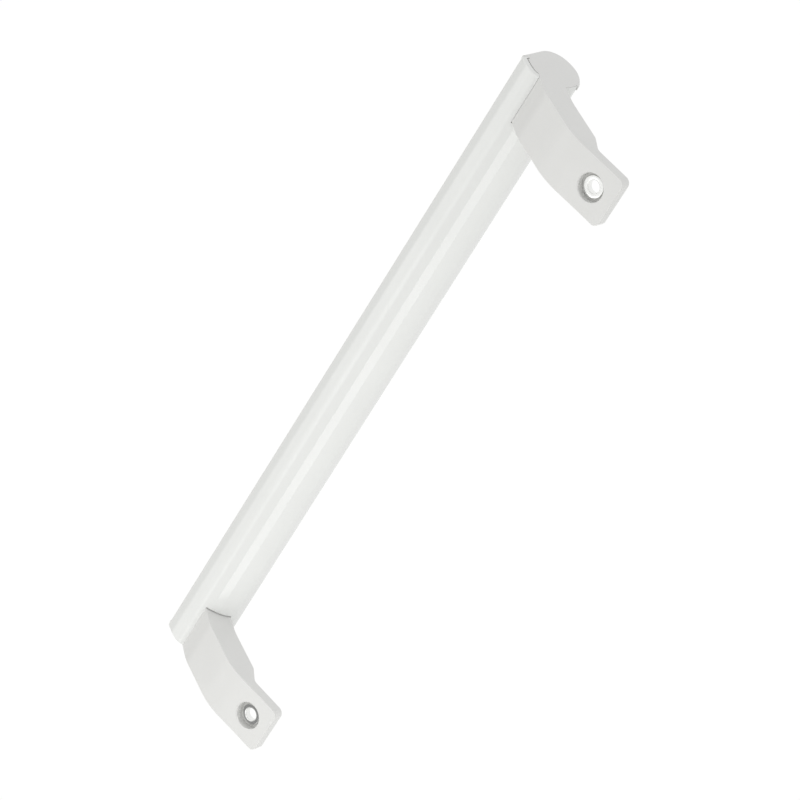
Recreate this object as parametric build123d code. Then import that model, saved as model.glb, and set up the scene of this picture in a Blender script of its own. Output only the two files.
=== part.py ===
from build123d import *
import os

# Refrigerator door handle: a hollow bar carried by two moulded brackets that screw to the side of the door.
# All sizes are in millimetres.
#
# Frame: +Z runs up along the bar, +Y points from the bar back along the side of the door, and +X points out
# of the side of the door, towards the screw heads. The origin lies on the seat of the tabs, on the line of
# the two screws, half way between them.

# Driving sizes of the whole handle
hole_spacing = 320.0
hole_to_end = 12.5
bracket_width = 25.0
seam_depth = 52.95
seam_side = 10.55

# Section of the bar, measured from its seam line, where the front of the leg comes out of it
front_reach = 13.0
back_reach = 10.0
palm_drop = 26.25
ridge_rise = 2.0
bar_wall = 1.8

# Leg, tab and screw hole
tab_thickness = 5.35
tab_reach = 11.8
tab_corner_radius = 3.0
seat_start = 8.3
step_start = 14.75
bend_start = 19.25
recess_diameter = 12.6
flange_depth = 2.85
front_edge_round = 0.3
back_edge_round = 0.5

# Pockets that core out the back of the leg, either side of a rib
pocket_start = 13.5
pocket_stop = 17.45
pocket_wall = 2.4
rib_thickness = 2.0
pocket_corner_radius = 1.5

# Bush: a flanged sleeve that the screw goes through
bush_bore = 5.8
bush_wall = 0.9
flange_diameter = 9.8
flange_thickness = 0.9
bush_edge_bevel = 0.25

# Plug, end lip and inset rim of the bracket
plug_depth = 14.0
plug_wall = 2.2
lip_thickness = 2.0
lip_overhang = 0.5
lip_edge_round = 0.8
rim_inset = 0.6
bar_end_round = 0.8
skirt_round = 0.3

# Clearances
plug_gap = 0.3
seam_gap = 0.2
rim_gap = 0.1
notch_end_gap = 0.5
bush_gap = 0.05

# Sizes that follow from the ones above
half_length = hole_spacing / 2 + hole_to_end
hole_height = hole_spacing / 2
inner_wall_height = half_length - bracket_width
recess_depth = flange_depth + flange_thickness


def at(depth, side):
    """Point of the XY plane, given from the seam line towards +Y and +X."""
    return (side - seam_side, depth - seam_depth)


def rounded_face(corners):
    """Flat face over a polygon whose corners each have their own radius."""
    points = [point for point, radius in corners]
    radii = [radius for point, radius in corners]
    return make_face(FilletPolyline(*points, radius=radii, close=True))


def bar_outline():
    """Outer face of the bar's section: flat front, round palm side and back, ridge beside the seam."""
    return rounded_face(
        [
            (at(3.9, -2.1), 0),
            (at(back_reach, -6.6), 10.5),
            (at(back_reach, -17.4), 9.0),
            (at(2.6, -palm_drop), 13.0),
            (at(-front_reach, -palm_drop), 8.5),
            (at(-front_reach, -2.6), 1.5),
            (at(-2.0, ridge_rise), 7.0),
        ]
    )


def leg_profile():
    """Side view of one leg and its tab, closed inside the bar's wall."""
    return rounded_face(
        [
            (at(-2.5, -1.8), 0),
            (at(7.5, 5.6), 30.0),
            ((5.8, -bend_start), 35.0),
            ((tab_thickness, 1.0), 40.0),
            ((tab_thickness, tab_reach), 0),
            ((0, tab_reach), 0),
            ((0, -seat_start), 4.0),
            ((-5.95, -step_start), 3.0),
            (at(17.5, -3.6), 40.0),
            (at(6.0, -10.5), 0),
        ]
    )


def palm_side(shift):
    """Half of the XY plane on the palm side of the lip's edge, moved towards the seam by a distance."""
    corners = (at(-30, 5.1 + shift), at(30, -27.8 + shift), at(30, -60), at(-30, -60))
    return make_face(Polyline(*corners, close=True))


def lip_region(growth, shift=0.0):
    """Part of the bar's section that the bracket's lip covers, grown by the given amount."""
    return offset(bar_outline(), amount=growth) & palm_side(shift)


def rim_region(inset):
    """Part of the bar's section beside the leg's back, where the bracket covers most of the bar's wall."""
    beside_leg = make_face(Polyline(at(5, -6), at(14, -6), at(14, -20), at(5, -20), close=True))
    return (offset(bar_outline(), amount=-inset) & beside_leg) - palm_side(0)


def prism(face, low, high):
    """Solid over a flat face of the XY plane, from one height to another."""
    return extrude(Pos(0, 0, low) * face, amount=high - low)


def hole(diameter, start, end):
    """Round tool along +X on the upper screw's axis, between two distances from the seat."""
    placed = Plane(origin=(start, 0, hole_height), x_dir=(0, 1, 0), z_dir=(1, 0, 0))
    return extrude(placed * Circle(diameter / 2), amount=end - start)


def rim_of(solid, outline, height):
    """Edges of a solid that run along a section's outline at one height."""
    wire = outline.face().outer_wire()
    level = solid.edges().filter_by(lambda e: abs(e.center().Z - height) < 0.01)
    return level.filter_by(lambda e: wire.distance_to(Vector(e.center().X, e.center().Y, 0)) < 0.01)


def leg_rim(leg, front):
    """Edges round one side of the leg and tab: the side that looks out from the door, or its back."""

    middle = tab_thickness / 2

    def is_wanted(edge):
        centre = edge.center()
        on_end = min(abs(centre.Z - half_length), abs(centre.Z - inner_wall_height)) < 0.01
        on_tab_end = centre.Y > tab_reach - tab_corner_radius + 0.01
        share = (centre.Y + seam_depth) / (seam_depth - 6.5)
        on_front = centre.X > middle - (middle + seam_side + 3.0) * (1 - min(share, 1))
        is_open = front or centre.Y > 2.0 - seam_depth
        return (on_end or on_tab_end) and on_front == front and is_open

    return leg.edges().filter_by(Axis.X, reverse=True).filter_by(is_wanted)


def make_leg():
    """Leg and tab of the upper bracket, with their rounded edges."""
    leg = prism(leg_profile(), inner_wall_height, half_length)
    leg = fillet(leg.edges().filter_by(Axis.X).group_by(Axis.Y)[-1], tab_corner_radius)
    leg = fillet(leg_rim(leg, True), front_edge_round)
    return fillet(leg_rim(leg, False), back_edge_round)


def make_pockets():
    """Tools of the two pockets, open at the leg's back, with a rib between them."""
    profile = rounded_face(
        [
            (at(pocket_start, -20), 0),
            (at(pocket_start, 8.1 - pocket_wall), pocket_corner_radius),
            ((5.05 - pocket_wall, -pocket_stop - 3.5), 2.0),
            ((5.55 - pocket_wall, -pocket_stop), pocket_corner_radius),
            ((-30.0, -pocket_stop), 0),
        ]
    )
    low = prism(profile, inner_wall_height + pocket_wall, hole_height - rib_thickness / 2)
    high = prism(profile, hole_height + rib_thickness / 2, half_length - pocket_wall)
    return low + high


def make_upper_bracket():
    """Upper bracket, one moulding: leg, plug inside the bar, and lip and rim over the bar's end."""
    plug_face = offset(bar_outline(), amount=-(bar_wall + plug_gap))
    plug_end = inner_wall_height - plug_depth
    lip = prism(lip_region(lip_overhang), half_length - lip_thickness, half_length)
    lip_outline = offset(bar_outline(), amount=lip_overhang)
    lip = fillet(rim_of(lip, lip_outline, half_length), lip_edge_round)
    bracket = make_leg() - make_pockets()
    bracket += prism(plug_face, plug_end, half_length)
    bracket += prism(rim_region(rim_inset), half_length - lip_thickness, half_length)
    bracket += lip
    bracket -= prism(offset(plug_face, amount=-plug_wall), plug_end - 1, inner_wall_height)
    bracket -= hole(recess_diameter, tab_thickness - recess_depth, tab_thickness + 1)
    bracket -= hole(bush_bore + 2 * (bush_wall + bush_gap), -1, tab_thickness)
    return bracket


def make_grip_bar():
    """Hollow bar, notched at both ends for the legs and cut back under the lips and rims."""
    outline = bar_outline()
    bar = prism(outline, -half_length, half_length)
    bar -= prism(offset(outline, amount=-bar_wall), -half_length - 1, half_length + 1)
    cover_start = half_length - lip_thickness
    notch = prism(
        offset(leg_profile(), amount=seam_gap), inner_wall_height - notch_end_gap, half_length + 1
    )
    lip_cut = prism(lip_region(2 * lip_overhang, seam_gap), cover_start, half_length + 1)
    rim_cut = prism(rim_region(rim_inset - rim_gap), cover_start, half_length + 1)
    for cut in (notch, lip_cut, rim_cut):
        bar -= cut
        bar -= mirror(cut, about=Plane.XY)
    for height in (half_length, -half_length):
        front_rim = rim_of(bar, outline, height).filter_by(lambda e: e.center().Y < -seam_depth)
        bar = fillet(front_rim, bar_end_round)
        back_rim = rim_of(bar, outline, height).filter_by(lambda e: e.center().Y > -seam_depth)
        bar = fillet(back_rim, skirt_round)
    return bar


def make_upper_bush():
    """Flanged sleeve in the upper tab, with its rim below the tab's face."""
    rim = tab_thickness - flange_depth
    bore_radius = bush_bore / 2
    sleeve_radius = bore_radius + bush_wall
    flange_radius = flange_diameter / 2
    seat_of_flange = rim - flange_thickness
    section = Polyline(
        (0, bore_radius),
        (0, sleeve_radius),
        (seat_of_flange, sleeve_radius),
        (seat_of_flange, flange_radius),
        (rim, flange_radius),
        (rim, bore_radius),
        close=True,
    )
    face = chamfer(make_face(section).vertices().group_by(Axis.X)[-1], bush_edge_bevel)
    turned = revolve(face, axis=Axis.X)
    return Pos(0, 0, hole_height) * turned


def main():
    """Build each piece and write it to its own file."""
    upper_bracket = make_upper_bracket()
    upper_bush = make_upper_bush()
    pieces = {
        "grip_bar": make_grip_bar(),
        "upper_bracket": upper_bracket,
        "lower_bracket": mirror(upper_bracket, about=Plane.XY),
        "upper_bush": upper_bush,
        "lower_bush": mirror(upper_bush, about=Plane.XY),
    }
    os.makedirs("parts", exist_ok=True)
    for name, piece in pieces.items():
        export_step(piece, f"parts/{name}.step")


main()
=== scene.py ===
"""Look of the refrigerator door handle: fine meshes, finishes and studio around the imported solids.

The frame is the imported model's own: +Z runs up along the bar, +Y from the bar back along the side of
the door, and +X out of the side of the door. Sections are given in millimetres and built in metres.
"""

import logging
import math
from collections.abc import Sequence
from dataclasses import dataclass, field
from enum import Enum

import bmesh
import bpy
from mathutils import Matrix, Vector


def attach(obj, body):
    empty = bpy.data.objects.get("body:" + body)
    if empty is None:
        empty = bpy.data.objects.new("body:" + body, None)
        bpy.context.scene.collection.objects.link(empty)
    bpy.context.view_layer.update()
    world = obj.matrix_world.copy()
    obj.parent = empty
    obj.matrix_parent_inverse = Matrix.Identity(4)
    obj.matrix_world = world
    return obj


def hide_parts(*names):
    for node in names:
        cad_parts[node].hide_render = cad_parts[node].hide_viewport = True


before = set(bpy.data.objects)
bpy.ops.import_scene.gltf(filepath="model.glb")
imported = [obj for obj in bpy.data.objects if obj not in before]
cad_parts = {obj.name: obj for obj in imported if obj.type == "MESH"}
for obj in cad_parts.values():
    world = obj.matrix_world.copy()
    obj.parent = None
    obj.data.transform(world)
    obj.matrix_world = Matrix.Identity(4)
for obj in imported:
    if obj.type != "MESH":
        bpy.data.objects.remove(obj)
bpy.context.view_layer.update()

LOG = logging.getLogger("door_handle")
MM = 0.001
ROOT = "root"

# A turn of this many degrees is one flat of a rounded corner, fine enough to look smooth up close.
ARC_STEP = 4.0
# Angle above which an edge along the bar is a real crease; the flats of its round corners stay below it.
SKIN_CREASE = 6.0
# Flats across the rounding of an edge, and the angles of their ends.
EDGE_STEPS = 5
QUARTER = tuple(math.pi / 2 * k / EDGE_STEPS for k in range(EDGE_STEPS + 1))
# Points closer than this, in millimetres, are one point.
WELD = 2e-4


class MaterialSlot(Enum):
    """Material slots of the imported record."""

    BAR = "bar_plastic"
    BRACKET = "bracket_plastic"
    BUSH = "bush_steel"


class Combine(Enum):
    """Ways in which one closed mesh changes another."""

    ADD = "UNION"
    CUT = "DIFFERENCE"
    KEEP = "INTERSECT"


class LampKind(Enum):
    """What an area lamp does in the studio."""

    SOFTBOX = "softbox"
    FILL = "fill"
    FLAG = "grey_flag"


def linear(hex_colour: str) -> tuple[float, float, float, float]:
    """Turn an sRGB hex colour into the linear colour of a shader socket.

    Args:
        hex_colour: Colour as #RRGGBB.

    Returns:
        Linear red, green and blue, with an alpha of 1.
    """
    channels = [int(hex_colour[i : i + 2], 16) / 255 for i in (1, 3, 5)]
    red, green, blue = (
        c / 12.92 if c <= 0.04045 else ((c + 0.055) / 1.055) ** 2.4 for c in channels
    )
    return red, green, blue, 1.0


def add_node(
    tree: bpy.types.NodeTree,
    kind: str,
    settings: dict[str, object] | None = None,
    inputs: dict[str | int, object] | None = None,
) -> bpy.types.Node:
    """Add a node with its settings, its values and the links that come into it.

    Args:
        tree: Node tree that gets the node.
        kind: Blender's name of the node's type.
        settings: Properties to set on the node.
        inputs: Input sockets by name or number, each with a value or the output that feeds it.

    Returns:
        The new node.
    """
    node = tree.nodes.new(kind)
    for name, value in (settings or {}).items():
        setattr(node, name, value)
    for name, value in (inputs or {}).items():
        if isinstance(value, bpy.types.NodeSocket):
            tree.links.new(value, node.inputs[name])
        else:
            node.inputs[name].default_value = value
    return node


def new_material(name: str) -> bpy.types.Material:
    """Make a material whose node tree is still empty.

    Args:
        name: What the finish is.

    Returns:
        The material.
    """
    material = bpy.data.materials.new(name)
    material.use_nodes = True
    material.node_tree.nodes.clear()
    return material


def facing(place: tuple[float, float, float], target: tuple[float, float, float]) -> Matrix:
    """Place a lamp or card so that it looks at a point, with its height upright.

    Args:
        place: Where it hangs.
        target: Point that it looks at.

    Returns:
        Its matrix in the world.
    """
    back = (Vector(place) - Vector(target)).normalized()
    right = Vector((0.0, 0.0, 1.0)).cross(back).normalized()
    turned = Matrix((right, back.cross(right), back)).transposed()
    return Matrix.Translation(place) @ turned.to_4x4()


@dataclass(frozen=True)
class Corner:
    """Corner of a section, in millimetres, with the radius that rounds it."""

    x: float
    y: float
    radius: float = 0.0


@dataclass(frozen=True)
class Section:
    """Closed outline in the XY plane: a polygon with rounded corners, in millimetres."""

    corners: tuple[Corner, ...]

    def turns_left(self) -> bool:
        """Whether the corners run anticlockwise."""
        pairs = zip(self.corners, self.corners[1:] + self.corners[:1], strict=True)
        return sum(a.x * b.y - b.x * a.y for a, b in pairs) > 0

    def grown(self, amount: float) -> "Section":
        """Move every side outwards, and fit the rounded corners to it.

        Args:
            amount: Distance in millimetres, negative to move the sides inwards.

        Returns:
            The new section.
        """
        side = 1.0 if self.turns_left() else -1.0
        points = [Vector((c.x, c.y)) for c in self.corners]
        count = len(points)
        moved = []
        for i, corner in enumerate(self.corners):
            before = (points[i] - points[i - 1]).normalized()
            after = (points[(i + 1) % count] - points[i]).normalized()
            out_before = Vector((before.y, -before.x)) * side
            out_after = Vector((after.y, -after.x)) * side
            middle = (out_before + out_after).normalized()
            reach = amount / middle.dot(out_before)
            bulges = (before.x * after.y - before.y * after.x) * side > 0
            radius = corner.radius
            if radius > 0:
                radius = max(radius + (amount if bulges else -amount), 0.0)
            place = points[i] + middle * reach
            moved.append(Corner(place.x, place.y, radius))
        return Section(tuple(moved))

    def points(self) -> list[Vector]:
        """Points round the outline, anticlockwise.

        Returns:
            The points in millimetres, with each rounded corner as a row of short flats.
        """
        loop: list[Vector] = []
        count = len(self.corners)
        for i, corner in enumerate(self.corners):
            last, following = self.corners[i - 1], self.corners[(i + 1) % count]
            tip = Vector((corner.x, corner.y))
            if corner.radius < 1e-6:
                loop.append(tip)
                continue
            back = (Vector((last.x, last.y)) - tip).normalized()
            ahead = (Vector((following.x, following.y)) - tip).normalized()
            half_gap = math.acos(max(-1.0, min(1.0, back.dot(ahead)))) / 2
            turn = math.pi - 2 * half_gap
            centre = tip + (back + ahead).normalized() * corner.radius / math.sin(half_gap)
            start = tip + back * corner.radius / math.tan(half_gap) - centre
            way = 1.0 if back.x * ahead.y - back.y * ahead.x < 0 else -1.0
            steps = max(2, math.ceil(math.degrees(turn) / ARC_STEP))
            for k in range(steps + 1):
                angle = way * turn * k / steps
                loop.append(centre + Matrix.Rotation(angle, 2) @ start)
        return loop if self.turns_left() else loop[::-1]


def inward_normals(loop: Sequence[Vector]) -> list[Vector]:
    """Directions that move each point of an anticlockwise outline inwards by an even amount.

    Args:
        loop: Points of the outline.

    Returns:
        One vector for each point, longer than 1 where the outline turns.
    """
    normals = []
    for i, point in enumerate(loop):
        before = (point - loop[i - 1]).normalized()
        after = (loop[(i + 1) % len(loop)] - point).normalized()
        middle = (Vector((-before.y, before.x)) + Vector((-after.y, after.x))).normalized()
        normals.append(middle / max(0.3, middle.dot(Vector((-before.y, before.x)))))
    return normals


def right_of_line(loop: Sequence[Vector], start: Vector, end: Vector) -> list[Vector]:
    """Part of an outline that lies on the right of a line.

    Args:
        loop: Points of the outline.
        start: Point on the line.
        end: Second point on the line, which gives its direction.

    Returns:
        The points of the cut outline.
    """
    along = end - start
    heights = [along.x * (p.y - start.y) - along.y * (p.x - start.x) for p in loop]
    kept: list[Vector] = []
    for i, point in enumerate(loop):
        previous, h0, h1 = loop[i - 1], heights[i - 1], heights[i]
        if (h0 < 0) != (h1 < 0):
            kept.append(previous + (point - previous) * h0 / (h0 - h1))
        if h1 < 0:
            kept.append(point.copy())
    return kept


def mesh_object(
    name: str, points: Sequence[Vector], faces: Sequence[Sequence[int]]
) -> bpy.types.Object:
    """Make a closed mesh object from points, in millimetres until it is dressed.

    Args:
        name: Name of the object.
        points: Corner points in millimetres.
        faces: Lists of point numbers.

    Returns:
        The object, linked to the scene, with its normals pointing out.
    """
    mesh = bpy.data.meshes.new(name)
    mesh.from_pydata([tuple(p) for p in points], [], [list(f) for f in faces])
    shape = bmesh.new()
    shape.from_mesh(mesh)
    bmesh.ops.remove_doubles(shape, verts=shape.verts, dist=WELD)
    bmesh.ops.recalc_face_normals(shape, faces=shape.faces)
    shape.to_mesh(mesh)
    shape.free()
    made = bpy.data.objects.new(name, mesh)
    bpy.context.scene.collection.objects.link(made)
    return made


def prism(
    name: str,
    loop: Sequence[Vector],
    low: float,
    high: float,
    round_low: float = 0.0,
    round_high: float = 0.0,
) -> bpy.types.Object:
    """Closed solid over an anticlockwise outline, with rounded end edges where wanted.

    Args:
        name: Name of the object.
        loop: Outline in millimetres.
        low: Height of its lower end.
        high: Height of its upper end.
        round_low: Radius of the edge round the lower end.
        round_high: Radius of the edge round the upper end.

    Returns:
        The mesh object.
    """
    normals = inward_normals(loop)
    rings: list[tuple[float, float]] = []
    if round_low > 0:
        rings += [
            (low + round_low * (1 - math.sin(a)), round_low * (1 - math.cos(a)))
            for a in reversed(QUARTER)
        ]
    else:
        rings.append((low, 0.0))
    if round_high > 0:
        rings += [
            (high - round_high * (1 - math.sin(a)), round_high * (1 - math.cos(a)))
            for a in QUARTER
        ]
    else:
        rings.append((high, 0.0))
    count = len(loop)
    points = [
        (p + n * inset).to_3d() + Vector((0, 0, height))
        for height, inset in rings
        for p, n in zip(loop, normals, strict=True)
    ]
    faces: list[list[int]] = [list(range(count))[::-1]]
    for ring in range(len(rings) - 1):
        base = ring * count
        for i in range(count):
            j = (i + 1) % count
            faces.append([base + i, base + j, base + count + j, base + count + i])
    faces.append(list(range(count * (len(rings) - 1), count * len(rings))))
    return mesh_object(name, points, faces)


def lathe(
    name: str, profile: Sequence[tuple[float, float]], height: float, segments: int = 96
) -> bpy.types.Object:
    """Closed ring or disc turned about the X axis.

    Args:
        name: Name of the object.
        profile: Points as distance from the seat and radius, in millimetres. A radius of 0 closes
            a disc.
        height: Z of the axis, in millimetres.
        segments: Number of flats round the axis.

    Returns:
        The mesh object.
    """
    points: list[Vector] = []
    faces: list[list[int]] = []
    closes_on_axis = profile[0][1] < 1e-6
    count = len(profile)
    for s in range(segments):
        angle = 2 * math.pi * s / segments
        for x, radius in profile:
            points.append(Vector((x, radius * math.cos(angle), height + radius * math.sin(angle))))
    for s in range(segments):
        base, ahead = s * count, (s + 1) % segments * count
        for i in range(count - 1 if closes_on_axis else count):
            j = (i + 1) % count
            faces.append([base + i, base + j, ahead + j, ahead + i])
    return mesh_object(name, points, faces)


def combine(base: bpy.types.Object, tool: bpy.types.Object, how: Combine) -> None:
    """Add a closed mesh to another or cut it away, and remove the tool.

    Args:
        base: Object whose mesh changes.
        tool: Object that is added or cut away.
        how: What is done.
    """
    modifier = base.modifiers.new("combine", "BOOLEAN")
    modifier.operation = how.value
    modifier.solver = "MANIFOLD"
    modifier.object = tool
    evaluated = base.evaluated_get(bpy.context.evaluated_depsgraph_get())
    mesh = bpy.data.meshes.new_from_object(evaluated)
    base.modifiers.clear()
    old = base.data
    base.data = mesh
    bpy.data.meshes.remove(old)
    bpy.data.objects.remove(tool)


def smooth(piece: bpy.types.Object, crease_degrees: float = 30.0) -> None:
    """Shade a finished mesh smoothly up to its real creases, led by its large faces.

    Args:
        piece: Object whose mesh is final.
        crease_degrees: Angle between two faces above which their edge stays sharp.
    """
    mesh = piece.data
    shape = bmesh.new()
    shape.from_mesh(mesh)
    bmesh.ops.remove_doubles(shape, verts=shape.verts, dist=WELD)
    bmesh.ops.dissolve_degenerate(shape, edges=shape.edges, dist=WELD)
    limit = math.radians(crease_degrees)
    for face in shape.faces:
        face.smooth = True
    fine_limit = math.radians(SKIN_CREASE)
    for edge in shape.edges:
        along = (edge.verts[0].co - edge.verts[1].co).normalized()
        edge_limit = fine_limit if abs(along.z) > 0.999 else limit
        edge.smooth = edge.is_manifold and edge.calc_face_angle(math.pi) < edge_limit
    shape.to_mesh(mesh)
    shape.free()
    modifier = piece.modifiers.new("face_led_normals", "WEIGHTED_NORMAL")
    modifier.keep_sharp = True
    modifier.weight = 100


@dataclass(frozen=True)
class SatinPlastic:
    """White plastic of one real kind, with the colour and surface that its making gives it."""

    name: str
    colour: str
    shaded_colour: str
    roughness: float
    roughness_spread: float
    ior: float
    grain_mm: float
    grain_height_mm: float
    grain_stretch: tuple[float, float, float]
    mottle_mm: float

    def material(self) -> bpy.types.Material:
        """Build the procedural material.

        Returns:
            The material, with its colour mottle, roughness and fine surface grain from nodes.
        """
        material = new_material(self.name)
        tree = material.node_tree
        place = add_node(tree, "ShaderNodeTexCoord").outputs["Object"]
        mottle = add_node(
            tree,
            "ShaderNodeTexNoise",
            inputs={
                "Vector": place,
                "Scale": 1 / (self.mottle_mm * MM),
                "Detail": 3.0,
                "Roughness": 0.5,
            },
        ).outputs["Fac"]
        colour = add_node(
            tree,
            "ShaderNodeMix",
            {"data_type": "RGBA"},
            {"Factor": mottle, 6: linear(self.colour), 7: linear(self.shaded_colour)},
        ).outputs[2]
        rough = add_node(
            tree,
            "ShaderNodeMapRange",
            inputs={
                "Value": mottle,
                "From Min": 0.3,
                "From Max": 0.7,
                "To Min": self.roughness - self.roughness_spread,
                "To Max": self.roughness + self.roughness_spread,
            },
        ).outputs["Result"]
        stretched = add_node(
            tree, "ShaderNodeMapping", inputs={"Vector": place, "Scale": self.grain_stretch}
        ).outputs["Vector"]
        grain = add_node(
            tree,
            "ShaderNodeTexNoise",
            inputs={
                "Vector": stretched,
                "Scale": 1 / (self.grain_mm * MM),
                "Detail": 2.0,
                "Roughness": 0.55,
            },
        ).outputs["Fac"]
        bump = add_node(
            tree,
            "ShaderNodeBump",
            inputs={"Height": grain, "Strength": 1.0, "Distance": self.grain_height_mm * MM},
        ).outputs["Normal"]
        shader = add_node(
            tree,
            "ShaderNodeBsdfPrincipled",
            inputs={
                "Base Color": colour,
                "Roughness": rough,
                "IOR": self.ior,
                "Normal": bump,
            },
        )
        add_node(tree, "ShaderNodeOutputMaterial", inputs={"Surface": shader.outputs["BSDF"]})
        return material


@dataclass(frozen=True)
class PlatedSteel:
    """Bright zinc-plated mild steel, turned on a lathe."""

    name: str = "zinc_plated_turned_steel"
    colour: str = "#F2F2F0"
    dull_colour: str = "#E6E7E5"
    roughness: float = 0.14
    polished_by: float = 0.03
    dulled_by: float = 0.05
    ring_pitch_mm: float = 0.22
    ring_height_mm: float = 0.004
    bloom_mm: float = 1.6

    def material(self, axis_height: float) -> bpy.types.Material:
        """Build the procedural material.

        Args:
            axis_height: Z of the axis that the piece was turned on, in millimetres.

        Returns:
            The material, with turning rings about that axis and a soft bloom of the plating.
        """
        material = new_material(self.name)
        tree = material.node_tree
        place = add_node(tree, "ShaderNodeTexCoord").outputs["Object"]
        centred = add_node(
            tree,
            "ShaderNodeVectorMath",
            {"operation": "SUBTRACT"},
            {0: place, 1: (0.0, 0.0, axis_height * MM)},
        ).outputs["Vector"]
        # The wave's rings, 2 pi units each, are a few tenths of a millimetre apart, as a fine cut
        # leaves them.
        rings = add_node(
            tree,
            "ShaderNodeTexWave",
            {"wave_type": "RINGS", "rings_direction": "X"},
            {
                "Vector": centred,
                "Scale": math.pi / 10 / (self.ring_pitch_mm * MM),
                "Distortion": 0.4,
                "Detail": 1.0,
            },
        ).outputs["Fac"]
        bloom = add_node(
            tree,
            "ShaderNodeTexNoise",
            inputs={"Vector": place, "Scale": 1 / (self.bloom_mm * MM), "Detail": 4.0},
        ).outputs["Fac"]
        colour = add_node(
            tree,
            "ShaderNodeMix",
            {"data_type": "RGBA"},
            {"Factor": bloom, 6: linear(self.colour), 7: linear(self.dull_colour)},
        ).outputs[2]
        rough = add_node(
            tree,
            "ShaderNodeMapRange",
            inputs={
                "Value": bloom,
                "To Min": self.roughness - self.polished_by,
                "To Max": self.roughness + self.dulled_by,
            },
        ).outputs["Result"]
        bump = add_node(
            tree,
            "ShaderNodeBump",
            inputs={"Height": rings, "Strength": 1.0, "Distance": self.ring_height_mm * MM},
        ).outputs["Normal"]
        shader = add_node(
            tree,
            "ShaderNodeBsdfPrincipled",
            inputs={"Base Color": colour, "Metallic": 1.0, "Roughness": rough, "Normal": bump},
        )
        add_node(tree, "ShaderNodeOutputMaterial", inputs={"Surface": shader.outputs["BSDF"]})
        return material


# ABS profile, extruded and left as drawn: a satin skin that throws back a soft streak of light along
# the bar, with draw lines too faint to see one by one.
EXTRUDED_ABS = SatinPlastic(
    name="extruded_white_abs",
    colour="#E9EAE8",
    shaded_colour="#E5E6E4",
    roughness=0.24,
    roughness_spread=0.02,
    ior=1.52,
    grain_mm=0.6,
    grain_height_mm=0.0015,
    grain_stretch=(1.0, 1.0, 0.02),
    mottle_mm=22.0,
)

# ABS, injection moulded in a spark-eroded tool: an even, slightly duller skin with a fine sandy grain,
# drawn a little coarser than the real one so that it shows at all.
MOULDED_ABS = SatinPlastic(
    name="moulded_white_abs",
    colour="#E1E1DF",
    shaded_colour="#DDDDDB",
    roughness=0.34,
    roughness_spread=0.03,
    ior=1.53,
    grain_mm=0.45,
    grain_height_mm=0.006,
    grain_stretch=(1.0, 1.0, 1.0),
    mottle_mm=14.0,
)

TURNED_STEEL = PlatedSteel()


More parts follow.
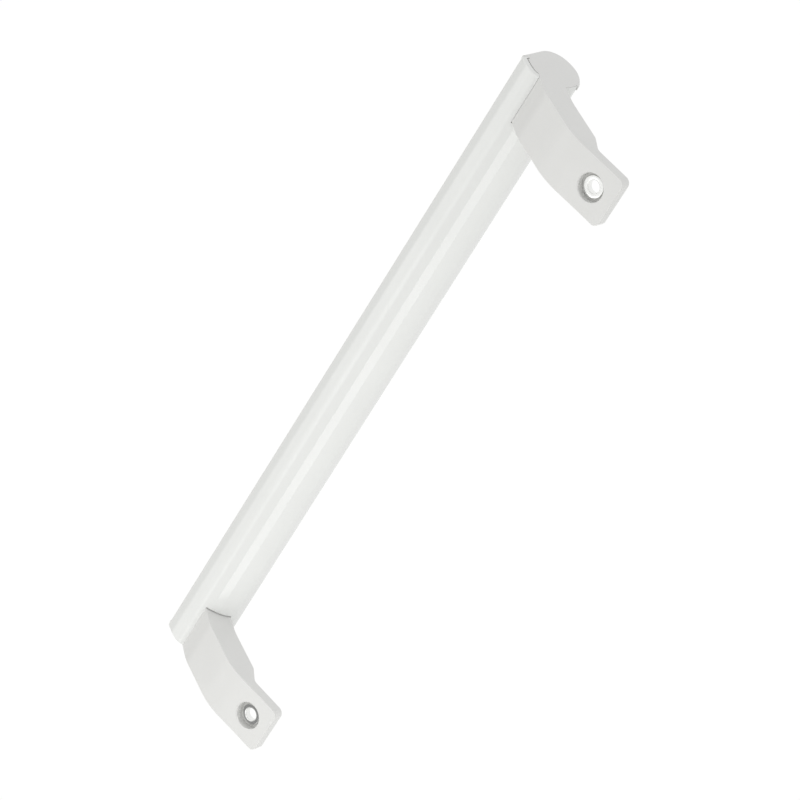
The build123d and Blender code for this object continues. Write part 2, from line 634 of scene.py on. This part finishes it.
@dataclass(frozen=True)
class HandleSizes:
    """Sizes that the pieces share, in millimetres.

    They are the solids' own, apart from the gaps at the plug and legs, which follow the photograph.
    """

    hole_spacing: float = 320.0
    hole_to_end: float = 12.5
    bracket_width: float = 25.0
    seam_depth: float = 52.95
    seam_side: float = 10.55
    bar_wall: float = 1.8
    plug_gap: float = 0.6
    upper_seam_gap: float = 0.12
    lower_seam_gap: float = 0.02
    lip_gap: float = 0.2
    rim_gap: float = 0.1
    notch_end_gap: float = 0.5
    lip_thickness: float = 2.0
    lip_overhang: float = 0.5
    rim_inset: float = 0.6
    lip_edge_side: float = 5.1
    lip_edge_slope: float = 32.9 / 60
    lip_edge_start: float = -30.0
    tab_thickness: float = 5.35
    tab_reach: float = 11.8

    @property
    def hole_height(self) -> float:
        """Height of the upper screw's axis."""
        return self.hole_spacing / 2

    @property
    def half_length(self) -> float:
        """Height of the bar's upper end."""
        return self.hole_height + self.hole_to_end

    @property
    def inner_wall_height(self) -> float:
        """Height of the upper leg's lower side."""
        return self.half_length - self.bracket_width

    def at(self, depth: float, side: float, radius: float = 0.0) -> Corner:
        """Corner of a section, given from the seam line towards +Y and +X."""
        return Corner(side - self.seam_side, depth - self.seam_depth, radius)

    def bar_section(self) -> Section:
        """Outer outline of the bar: two-flat front, round palm side and back, ridge at the seam."""
        at = self.at
        return Section(
            (
                at(3.9, -2.1),
                at(10.0, -6.6, 10.5),
                at(10.0, -17.4, 9.0),
                at(2.6, -26.25, 13.0),
                at(-13.0, -26.25, 8.5),
                at(-13.0, -2.6, 1.5),
                at(-8.1, -0.03, 10.0),
                at(-2.0, 2.0, 7.0),
            )
        )

    def skin_section(self) -> Section:
        """Outline of the bar's skin, with the narrow flat strip that runs behind the ridge."""
        at = self.at
        return Section(
            (
                at(2.25, -0.955),
                at(5.3, -3.13),
                at(7.5, -5.3, 14.0),
                at(10.0, -9.9, 7.0),
                at(10.0, -17.4, 9.0),
                at(2.6, -26.25, 13.0),
                at(-13.0, -26.25, 8.5),
                at(-13.0, -2.6, 1.5),
                at(-8.1, -0.03, 10.0),
                at(-2.848, 1.645, 5.4),
            )
        )

    def leg_section(self) -> Section:
        """Outline of one leg and its tab, closed inside the bar's wall."""
        at = self.at
        return Section(
            (
                at(-2.5, -1.8),
                at(7.5, 5.6, 30.0),
                at(33.7, 16.35, 35.0),
                Corner(self.tab_thickness, 1.0, 40.0),
                Corner(self.tab_thickness, self.tab_reach),
                Corner(0.0, self.tab_reach),
                Corner(0.0, -8.3, 4.0),
                at(38.2, 4.6, 3.0),
                at(17.5, -3.6, 40.0),
                at(6.0, -10.5),
            )
        )

    def lip_line(self, depth: float) -> float:
        """Side at which the lip's edge lies, for a depth behind the seam."""
        return self.lip_edge_side - self.lip_edge_slope * (depth - self.lip_edge_start)

    def lip_loop(self, growth: float, shift: float = 0.0) -> list[Vector]:
        """Outline of the part of the bar's end that the bracket's lip covers.

        Args:
            growth: Distance that it reaches past the bar's outline.
            shift: Distance that its straight edge moves towards the seam.

        Returns:
            The outline's points.
        """
        ends = (self.at(d, self.lip_line(d) + shift) for d in (30, -30))
        start, end = (Vector((c.x, c.y)) for c in ends)
        return right_of_line(self.bar_section().grown(growth).points(), start, end)

    def rim_loops(self, inset: float) -> tuple[list[Vector], list[Vector]]:
        """Outlines whose common part is the rim beside the leg's back.

        Args:
            inset: Distance that the rim stays inside the bar's outline.

        Returns:
            The inset outline of the bar, and a four-sided window on its back.
        """
        corners = ((5, -6), (14, -6), (14, self.lip_line(14)), (5, self.lip_line(5)))
        window = Section(tuple(self.at(depth, side) for depth, side in corners))
        return self.bar_section().grown(-inset).points(), window.points()


@dataclass
class Piece:
    """One physical piece: its mesh object, the solid it stands for and its record slot."""

    body: bpy.types.Object
    node: str
    slot: MaterialSlot

    def dress(self, material: bpy.types.Material) -> None:
        """Give the piece its finish, and tie it to the frame.

        Args:
            material: Finish of the whole piece.
        """
        smooth(self.body)
        self.body.data.transform(Matrix.Scale(MM, 4))
        self.body.data.materials.clear()
        self.body.data.materials.append(material)
        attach(self.body, ROOT)
        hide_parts(self.node)
        LOG.info("%s stands for %s: %d faces", self.body.name, self.node, len(self.body.data.polygons))


def mirrored(source: bpy.types.Object, name: str) -> bpy.types.Object:
    """Copy of a piece on the other end of the bar.

    Args:
        source: Object on the upper end.
        name: Name of the copy.

    Returns:
        The copy, mirrored about the middle of the bar, with its normals pointing out.
    """
    mesh = source.data.copy()
    mesh.name = name
    mesh.transform(Matrix.Diagonal((1, 1, -1, 1)))
    mesh.flip_normals()
    copy = bpy.data.objects.new(name, mesh)
    bpy.context.scene.collection.objects.link(copy)
    return copy


@dataclass
class GripBar:
    """Hollow bar that the hand closes on, notched at both ends for the legs."""

    sizes: HandleSizes
    end_round: float = 0.8

    def build(self) -> Piece:
        """Make the bar's mesh.

        Returns:
            The piece, not dressed yet.
        """
        s = self.sizes
        section = s.bar_section()
        top = s.half_length
        skin = s.skin_section().points()
        bar = prism("grip_bar_profile", skin, -top, top, self.end_round, self.end_round)
        hollow = prism("hollow", section.grown(-s.bar_wall).points(), -top - 1, top + 1)
        combine(bar, hollow, Combine.CUT)
        notch_start = s.inner_wall_height - s.notch_end_gap
        lip_loop = s.lip_loop(2 * s.lip_overhang, s.lip_gap)
        lip_start = top - s.lip_thickness
        rim_loop, rim_window = s.rim_loops(s.rim_inset - s.rim_gap)
        for way, seam_gap in ((1, s.upper_seam_gap), (-1, s.lower_seam_gap)):
            notch_loop = s.leg_section().grown(seam_gap).points()
            low, high = sorted((way * lip_start, way * (top + 1)))
            rim = prism("rim_cut", rim_loop, low, high)
            combine(rim, prism("window", rim_window, low - 1, high + 1), Combine.KEEP)
            combine(bar, rim, Combine.CUT)
            combine(bar, prism("lip_cut", lip_loop, low, high), Combine.CUT)
            low, high = sorted((way * notch_start, way * (top + 1)))
            combine(bar, prism("notch", notch_loop, low, high), Combine.CUT)
        return Piece(bar, "grip_bar", MaterialSlot.BAR)


@dataclass
class Bracket:
    """Moulded bracket: leg and tab, the plug inside the bar and the lip over the bar's end."""

    sizes: HandleSizes
    plug_depth: float = 14.0
    plug_wall: float = 2.2
    tab_corner: float = 3.0
    front_round: float = 0.3
    back_round: float = 0.5
    lip_round: float = 0.8
    plug_round: float = 0.05
    recess_diameter: float = 12.6
    recess_floor: float = 1.6
    recess_rim_round: float = 0.35
    sleeve_hole_diameter: float = 7.7
    pocket_start: float = 13.5
    pocket_end: float = 35.5
    pocket_wall: float = 2.4
    rib_thickness: float = 2.0
    pocket_corner: float = 1.5
    corner_steps: int = 10
    # The three forms join a hair apart in height, which keeps their shared top free of doubled faces.
    hair: float = 0.004

    def leg(self) -> bpy.types.Object:
        """Leg and tab as one closed mesh with rounded edges.

        Returns:
            The mesh object of the upper leg.
        """
        s = self.sizes
        high, low = s.half_length, s.inner_wall_height
        loop = s.leg_section().points()
        normals = inward_normals(loop)
        arc_start = s.tab_reach - self.tab_corner
        end = [i for i, p in enumerate(loop) if abs(p.y - s.tab_reach) < 1e-6]
        first = min(end) if max(end) - min(end) == 1 else max(end)
        order = [(first + 1 + k) % len(loop) for k in range(len(loop))]
        chain = [(loop[i], -normals[i]) for i in order[1:-1]]
        tip = min(range(len(chain)), key=lambda k: chain[k][0].y)
        runs = {
            "one": (chain[:tip][::-1], loop[order[0]].x),
            "other": (chain[tip:], loop[order[-1]].x),
        }
        points: list[Vector] = []
        faces: list[list[int]] = []
        grids: dict[str, list[list[int]]] = {}
        straights: dict[str, int] = {}
        for side, (run, face_x) in runs.items():
            outward = 1.0 if face_x > 1.0 else -1.0
            radius = self.front_round if outward > 0 else self.back_round
            path: list[tuple[Vector, Vector, Vector]] = []
            for p, g in run:
                path.append((Vector((p.x, p.y, high)), g.to_3d(), Vector((0, 0, 1))))
            g_tab = Vector((outward, 0, 0))
            for k in range(self.corner_steps + 1):
                a = math.pi / 2 * k / self.corner_steps
                y = arc_start + self.tab_corner * math.sin(a)
                z = high - self.tab_corner * (1 - math.cos(a))
                path.append(
                    (Vector((face_x, y, z)), g_tab, Vector((0, math.sin(a), math.cos(a))))
                )
            straights[side] = len(run)
            mirrored_path = [
                (Vector((b.x, b.y, high + low - b.z)), g, Vector((n.x, n.y, -n.z)))
                for b, g, n in reversed(path)
            ]
            grid: list[list[int]] = []
            for base, g, n in path + mirrored_path:
                row = []
                for a in QUARTER:
                    place = base - n * radius * (1 - math.sin(a)) - g * radius * (1 - math.cos(a))
                    row.append(len(points))
                    points.append(place)
                grid.append(row)
            grids[side] = grid
            for r in range(len(grid) - 1):
                for k in range(EDGE_STEPS):
                    faces.append([grid[r][k], grid[r + 1][k], grid[r + 1][k + 1], grid[r][k + 1]])
            count = len(grid)
            for r in range(straights[side]):
                across = (grid[r], grid[r + 1], grid[count - 2 - r], grid[count - 1 - r])
                faces.append([row[0] for row in across])
            tab = list(range(straights[side], count - straights[side]))
            faces.append([grid[r][0] for r in tab])
        one, other = grids["one"], grids["other"]
        n_one, n_other = straights["one"], straights["other"]
        span = 2 * (self.corner_steps + 1)
        for k in range(span - 1):
            a, b = n_one + k, n_other + k
            faces.append([one[a][-1], one[a + 1][-1], other[b + 1][-1], other[b][-1]])
        faces.append(
            [one[r][-1] for r in range(n_one + 1)] + [other[r][-1] for r in range(n_other, -1, -1)]
        )
        c1, c2 = len(one), len(other)
        faces.append(
            [one[r][-1] for r in range(c1 - 1 - n_one, c1)]
            + [other[r][-1] for r in range(c2 - 1, c2 - 2 - n_other, -1)]
        )
        faces.append(one[0] + other[0][::-1] + other[-1] + one[-1][::-1])
        return mesh_object("leg", points, faces)

    def recess_tool(self) -> bpy.types.Object:
        """Round tool of the screw's recess, which flares at the tab's face to round its rim."""
        t, r = self.sizes.tab_thickness, self.recess_rim_round
        radius = self.recess_diameter / 2
        flare = [
            (t - r * (1 - math.sin(a)), radius + r * (1 - math.cos(a))) for a in QUARTER
        ]
        profile = [(self.recess_floor, 0.0), (self.recess_floor, radius), *flare]
        profile += [(t + 1, radius + r), (t + 1, 0.0)]
        return lathe("recess", profile, self.sizes.hole_height)

    def sleeve_tool(self) -> bpy.types.Object:
        """Round tool of the hole that takes the bush's sleeve."""
        radius = self.sleeve_hole_diameter / 2
        profile = [(-1.0, 0.0), (-1.0, radius), (3.0, radius), (3.0, 0.0)]
        return lathe("sleeve_hole", profile, self.sizes.hole_height)

    def pocket_tools(self) -> list[bpy.types.Object]:
        """Tools of the two pockets in the leg's back, either side of its rib."""
        s, at, corner = self.sizes, self.sizes.at, self.pocket_corner
        profile = Section(
            (
                at(self.pocket_start, -20.0),
                at(self.pocket_start, 8.1 - self.pocket_wall, corner),
                at(32.0, 15.6 - self.pocket_wall, 2.0),
                at(self.pocket_end, 16.1 - self.pocket_wall, corner),
                at(self.pocket_end, -20.0),
            )
        ).points()
        half_rib = self.rib_thickness / 2
        spans = (
            (s.inner_wall_height + self.pocket_wall, s.hole_height - half_rib),
            (s.hole_height + half_rib, s.half_length - self.pocket_wall),
        )
        return [prism("pocket", profile, low, high) for low, high in spans]

    def lip(self, top: float) -> bpy.types.Object:
        """Lip over the palm side of the bar's end, with its outer edge rounded.

        Args:
            top: Height of its upper face.

        Returns:
            The mesh object.
        """
        s = self.sizes
        low = s.half_length - s.lip_thickness
        cover = s.bar_section().grown(s.lip_overhang).points()
        lip = prism("lip", cover, low, top, 0.0, self.lip_round)
        window = s.lip_loop(10.0)
        combine(lip, prism("window", window, low - 1, top + 1), Combine.KEEP)
        return lip

    def rim(self, top: float) -> bpy.types.Object:
        """Thin rim over the bar's wall beside the leg's back.

        Args:
            top: Height of its upper face.

        Returns:
            The mesh object.
        """
        s = self.sizes
        low = s.half_length - s.lip_thickness
        loop, window = s.rim_loops(s.rim_inset)
        rim = prism("rim", loop, low, top)
        combine(rim, prism("window", window, low - 1, top + 1), Combine.KEEP)
        return rim

    def build(self) -> Piece:
        """Make the upper bracket's mesh.

        Returns:
            The piece, not dressed yet.
        """
        s = self.sizes
        plug_section = s.bar_section().grown(-(s.bar_wall + s.plug_gap))
        plug_end = s.inner_wall_height - self.plug_depth
        bracket = self.leg()
        combine(bracket, self.recess_tool(), Combine.CUT)
        combine(bracket, self.sleeve_tool(), Combine.CUT)
        for pocket in self.pocket_tools():
            combine(bracket, pocket, Combine.CUT)
        plug_top = s.half_length - self.hair
        plug = prism("plug", plug_section.points(), plug_end, plug_top, 0.0, self.plug_round)
        hollow = prism(
            "hollow", plug_section.grown(-self.plug_wall).points(), plug_end - 1, s.inner_wall_height
        )
        combine(plug, hollow, Combine.CUT)
        combine(plug, self.lip(plug_top - self.hair), Combine.ADD)
        combine(plug, self.rim(plug_top - 2 * self.hair), Combine.ADD)
        combine(bracket, plug, Combine.ADD)
        bracket.name = bracket.data.name = "upper_bracket_moulding"
        return Piece(bracket, "upper_bracket", MaterialSlot.BRACKET)


@dataclass
class Bush:
    """Flanged sleeve that the screw goes through."""

    sizes: HandleSizes
    bore: float = 5.8
    wall: float = 0.9
    flange_diameter: float = 9.8
    flange_thickness: float = 1.5
    seat_of_flange: float = 1.6
    edge_round: float = 0.2
    mouth_round: float = 0.45

    def build(self) -> Piece:
        """Make the upper bush's mesh.

        Returns:
            The piece, not dressed yet.
        """
        r, mouth = self.edge_round, self.mouth_round
        bore, sleeve, rim = self.bore / 2, self.bore / 2 + self.wall, self.flange_diameter / 2
        top = self.seat_of_flange + self.flange_thickness
        outer = [(top - r * (1 - math.sin(a)), rim - r * (1 - math.cos(a))) for a in QUARTER]
        inner = [
            (top - mouth * (1 - math.sin(a)), bore + mouth * (1 - math.cos(a)))
            for a in reversed(QUARTER)
        ]
        profile = [(0.0, bore), (0.0, sleeve), (self.seat_of_flange, sleeve), (self.seat_of_flange, rim)]
        bush = lathe("upper_bush_sleeve", profile + outer + inner, self.sizes.hole_height)
        return Piece(bush, "upper_bush", MaterialSlot.BUSH)


@dataclass
class Lamp:
    """Area lamp that looks at a point of the handle."""

    kind: LampKind
    place: tuple[float, float, float]
    target: tuple[float, float, float]
    width: float
    height: float
    power: float

    def build(self) -> None:
        """Hang the lamp, with its height upright."""
        data = bpy.data.lights.new(self.kind.value, "AREA")
        data.shape = "RECTANGLE"
        data.size, data.size_y = self.width, self.height
        data.energy = self.power
        lamp = bpy.data.objects.new(self.kind.value, data)
        lamp.matrix_world = facing(self.place, self.target)
        bpy.context.scene.collection.objects.link(lamp)
        LOG.info("%s of %.2f by %.2f m", self.kind.value, self.width, self.height)


@dataclass
class Card:
    """Plain card that only glossy surfaces see, as a studio hangs one to shade a gloss."""

    kind: LampKind
    place: tuple[float, float, float]
    target: tuple[float, float, float]
    width: float
    height: float
    colour: str

    def build(self) -> None:
        """Hang the card, so that it shows in glosses but throws neither light nor shadow."""
        x, y = self.width / 2, self.height / 2
        mesh = bpy.data.meshes.new(self.kind.value)
        mesh.from_pydata([(-x, -y, 0), (x, -y, 0), (x, y, 0), (-x, y, 0)], [], [(0, 1, 2, 3)])
        card = bpy.data.objects.new(self.kind.value, mesh)
        card.matrix_world = facing(self.place, self.target)
        bpy.context.scene.collection.objects.link(card)
        material = new_material(self.kind.value)
        tree = material.node_tree
        glow = add_node(
            tree, "ShaderNodeEmission", inputs={"Color": linear(self.colour), "Strength": 1.0}
        )
        add_node(tree, "ShaderNodeOutputMaterial", inputs={"Surface": glow.outputs["Emission"]})
        mesh.materials.append(material)
        for ray in ("camera", "diffuse", "transmission", "volume_scatter", "shadow"):
            setattr(card, f"visible_{ray}", False)


@dataclass
class Studio:
    """White cove with soft light, and the camera at the picture's viewing angle."""

    ambient: float = 0.836
    floor_height: float = -0.62
    floor_size: float = 12.0
    floor_colour: str = "#F4F4F2"
    floor_glow: float = 1.07
    floor_glow_share: float = 0.8
    lamps: list[Lamp] = field(
        default_factory=lambda: [
            Lamp(
                LampKind.SOFTBOX,
                place=(0.33, 0.33, -0.26),
                target=(-0.01, -0.05, -0.26),
                width=0.09,
                height=0.66,
                power=0.43,
            ),
            Lamp(
                LampKind.FILL,
                place=(0.40, -0.75, -0.10),
                target=(-0.01, -0.03, 0.0),
                width=0.5,
                height=0.7,
                power=0.5,
            ),
            Lamp(
                LampKind.FILL,
                place=(0.60, -0.10, -0.45),
                target=(0.0, -0.03, -0.05),
                width=0.4,
                height=0.4,
                power=0.5,
            ),
            Lamp(
                LampKind.FILL,
                place=(0.15, 0.70, -0.10),
                target=(0.0, -0.03, 0.0),
                width=0.4,
                height=0.6,
                power=0.22,
            ),
            Lamp(
                LampKind.FILL,
                place=(0.42, 0.10, 0.06),
                target=(0.0, -0.03, -0.16),
                width=0.2,
                height=0.2,
                power=0.1,
            ),
        ]
    )
    cards: list[Card] = field(
        default_factory=lambda: [
            Card(
                LampKind.FLAG,
                place=(0.42, 0.19, -0.31),
                target=(-0.01, -0.05, -0.31),
                width=0.12,
                height=0.56,
                colour="#404040",
            ),
            Card(
                LampKind.FLAG,
                place=(0.37, -0.156, -0.46),
                target=(0.005, 0.0, -0.16),
                width=0.26,
                height=0.26,
                colour="#8C8C8C",
            ),
            Card(
                LampKind.FLAG,
                place=(0.05, -0.465, -0.27),
                target=(-0.01, -0.05, -0.27),
                width=0.18,
                height=0.6,
                colour="#101010",
            ),
        ]
    )
    camera_place: tuple[float, float, float] = (1.38168, 0.5712, 0.94197)
    camera_right: tuple[float, float, float] = (-0.59234, 0.66216, 0.45899)
    camera_up: tuple[float, float, float] = (-0.19284, -0.66966, 0.7172)
    camera_back: tuple[float, float, float] = (0.78227, 0.33631, 0.52436)
    lens_mm: float = 184.14
    sensor_mm: float = 36.0

    def build_camera(self) -> None:
        """Place the camera where the picture was taken from."""
        data = bpy.data.cameras.new("camera")
        data.sensor_fit = "HORIZONTAL"
        data.sensor_width = self.sensor_mm
        data.lens = self.lens_mm
        data.clip_start, data.clip_end = 0.05, 50.0
        camera = bpy.data.objects.new("camera", data)
        turned = Matrix((self.camera_right, self.camera_up, self.camera_back)).transposed()
        camera.matrix_world = Matrix.Translation(self.camera_place) @ turned.to_4x4()
        bpy.context.scene.collection.objects.link(camera)
        bpy.context.scene.camera = camera

    def build_world(self) -> None:
        """White surroundings: full white where they are seen, softer where they only light."""
        world = bpy.data.worlds.new("white_cove")
        world.use_nodes = True
        tree = world.node_tree
        tree.nodes.clear()
        seen = self.seen_directly(tree)
        strength = add_node(
            tree,
            "ShaderNodeMix",
            {"data_type": "FLOAT"},
            {"Factor": seen, 2: self.ambient, 3: 1.0},
        ).outputs[0]
        light = add_node(
            tree,
            "ShaderNodeBackground",
            inputs={"Color": linear("#FFFFFF"), "Strength": strength},
        )
        add_node(tree, "ShaderNodeOutputWorld", inputs={"Surface": light.outputs["Background"]})
        bpy.context.scene.world = world

    @staticmethod
    def seen_directly(tree: bpy.types.NodeTree) -> bpy.types.NodeSocket:
        """Whether a ray comes from the camera, a gloss or a clear piece.

        Args:
            tree: Node tree to add the test to.

        Returns:
            Output that is 1 for such rays and 0 for all others.
        """
        path = add_node(tree, "ShaderNodeLightPath")
        total = path.outputs["Is Camera Ray"]
        for name in ("Is Glossy Ray", "Is Transmission Ray"):
            total = add_node(
                tree, "ShaderNodeMath", {"operation": "MAXIMUM"}, {0: total, 1: path.outputs[name]}
            ).outputs["Value"]
        return total

    def build_floor(self) -> None:
        """Pale floor well below the handle, which takes its faint shadow."""
        half, z = self.floor_size / 2, self.floor_height
        mesh = bpy.data.meshes.new("floor")
        corners = [(-half, -half, z), (half, -half, z), (half, half, z), (-half, half, z)]
        mesh.from_pydata(corners, [], [(0, 1, 2, 3)])
        floor = bpy.data.objects.new("floor", mesh)
        bpy.context.scene.collection.objects.link(floor)
        material = new_material("painted_cove_floor")
        tree = material.node_tree
        painted = add_node(tree, "ShaderNodeBsdfDiffuse", inputs={"Color": linear(self.floor_colour)})
        glow = add_node(
            tree, "ShaderNodeEmission", inputs={"Color": linear("#FFFFFF"), "Strength": self.floor_glow}
        )
        part = add_node(
            tree,
            "ShaderNodeMath",
            {"operation": "MULTIPLY"},
            {0: self.seen_directly(tree), 1: self.floor_glow_share},
        ).outputs["Value"]
        mixed = add_node(
            tree,
            "ShaderNodeMixShader",
            inputs={0: part, 1: painted.outputs["BSDF"], 2: glow.outputs["Emission"]},
        )
        # Seen from below the floor is clear, so that it never stands between a viewer and the handle.
        below = add_node(tree, "ShaderNodeNewGeometry").outputs["Backfacing"]
        clear = add_node(tree, "ShaderNodeBsdfTransparent").outputs["BSDF"]
        shown = add_node(
            tree, "ShaderNodeMixShader", inputs={0: below, 1: mixed.outputs["Shader"], 2: clear}
        )
        add_node(tree, "ShaderNodeOutputMaterial", inputs={"Surface": shown.outputs["Shader"]})
        mesh.materials.append(material)

    def build(self) -> None:
        """Set up camera, surroundings, floor and lamps."""
        bpy.context.scene.view_settings.view_transform = "Standard"
        self.build_camera()
        self.build_world()
        self.build_floor()
        for hung in (*self.lamps, *self.cards):
            hung.build()


def main() -> None:
    """Build the studio and every piece of the handle."""
    logging.basicConfig(level=logging.INFO, format="%(message)s")
    Studio().build()
    sizes = HandleSizes()
    extruded = EXTRUDED_ABS.material()
    moulded = MOULDED_ABS.material()
    GripBar(sizes).build().dress(extruded)
    upper_bracket = Bracket(sizes).build()
    lower_bracket = Piece(
        mirrored(upper_bracket.body, "lower_bracket_moulding"), "lower_bracket", MaterialSlot.BRACKET
    )
    upper_bush = Bush(sizes).build()
    lower_bush = Piece(
        mirrored(upper_bush.body, "lower_bush_sleeve"), "lower_bush", MaterialSlot.BUSH
    )
    for bracket in (upper_bracket, lower_bracket):
        bracket.dress(moulded)
    for bush, side in ((upper_bush, 1), (lower_bush, -1)):
        bush.dress(TURNED_STEEL.material(side * sizes.hole_height))


if __name__ == "__main__":
    main()
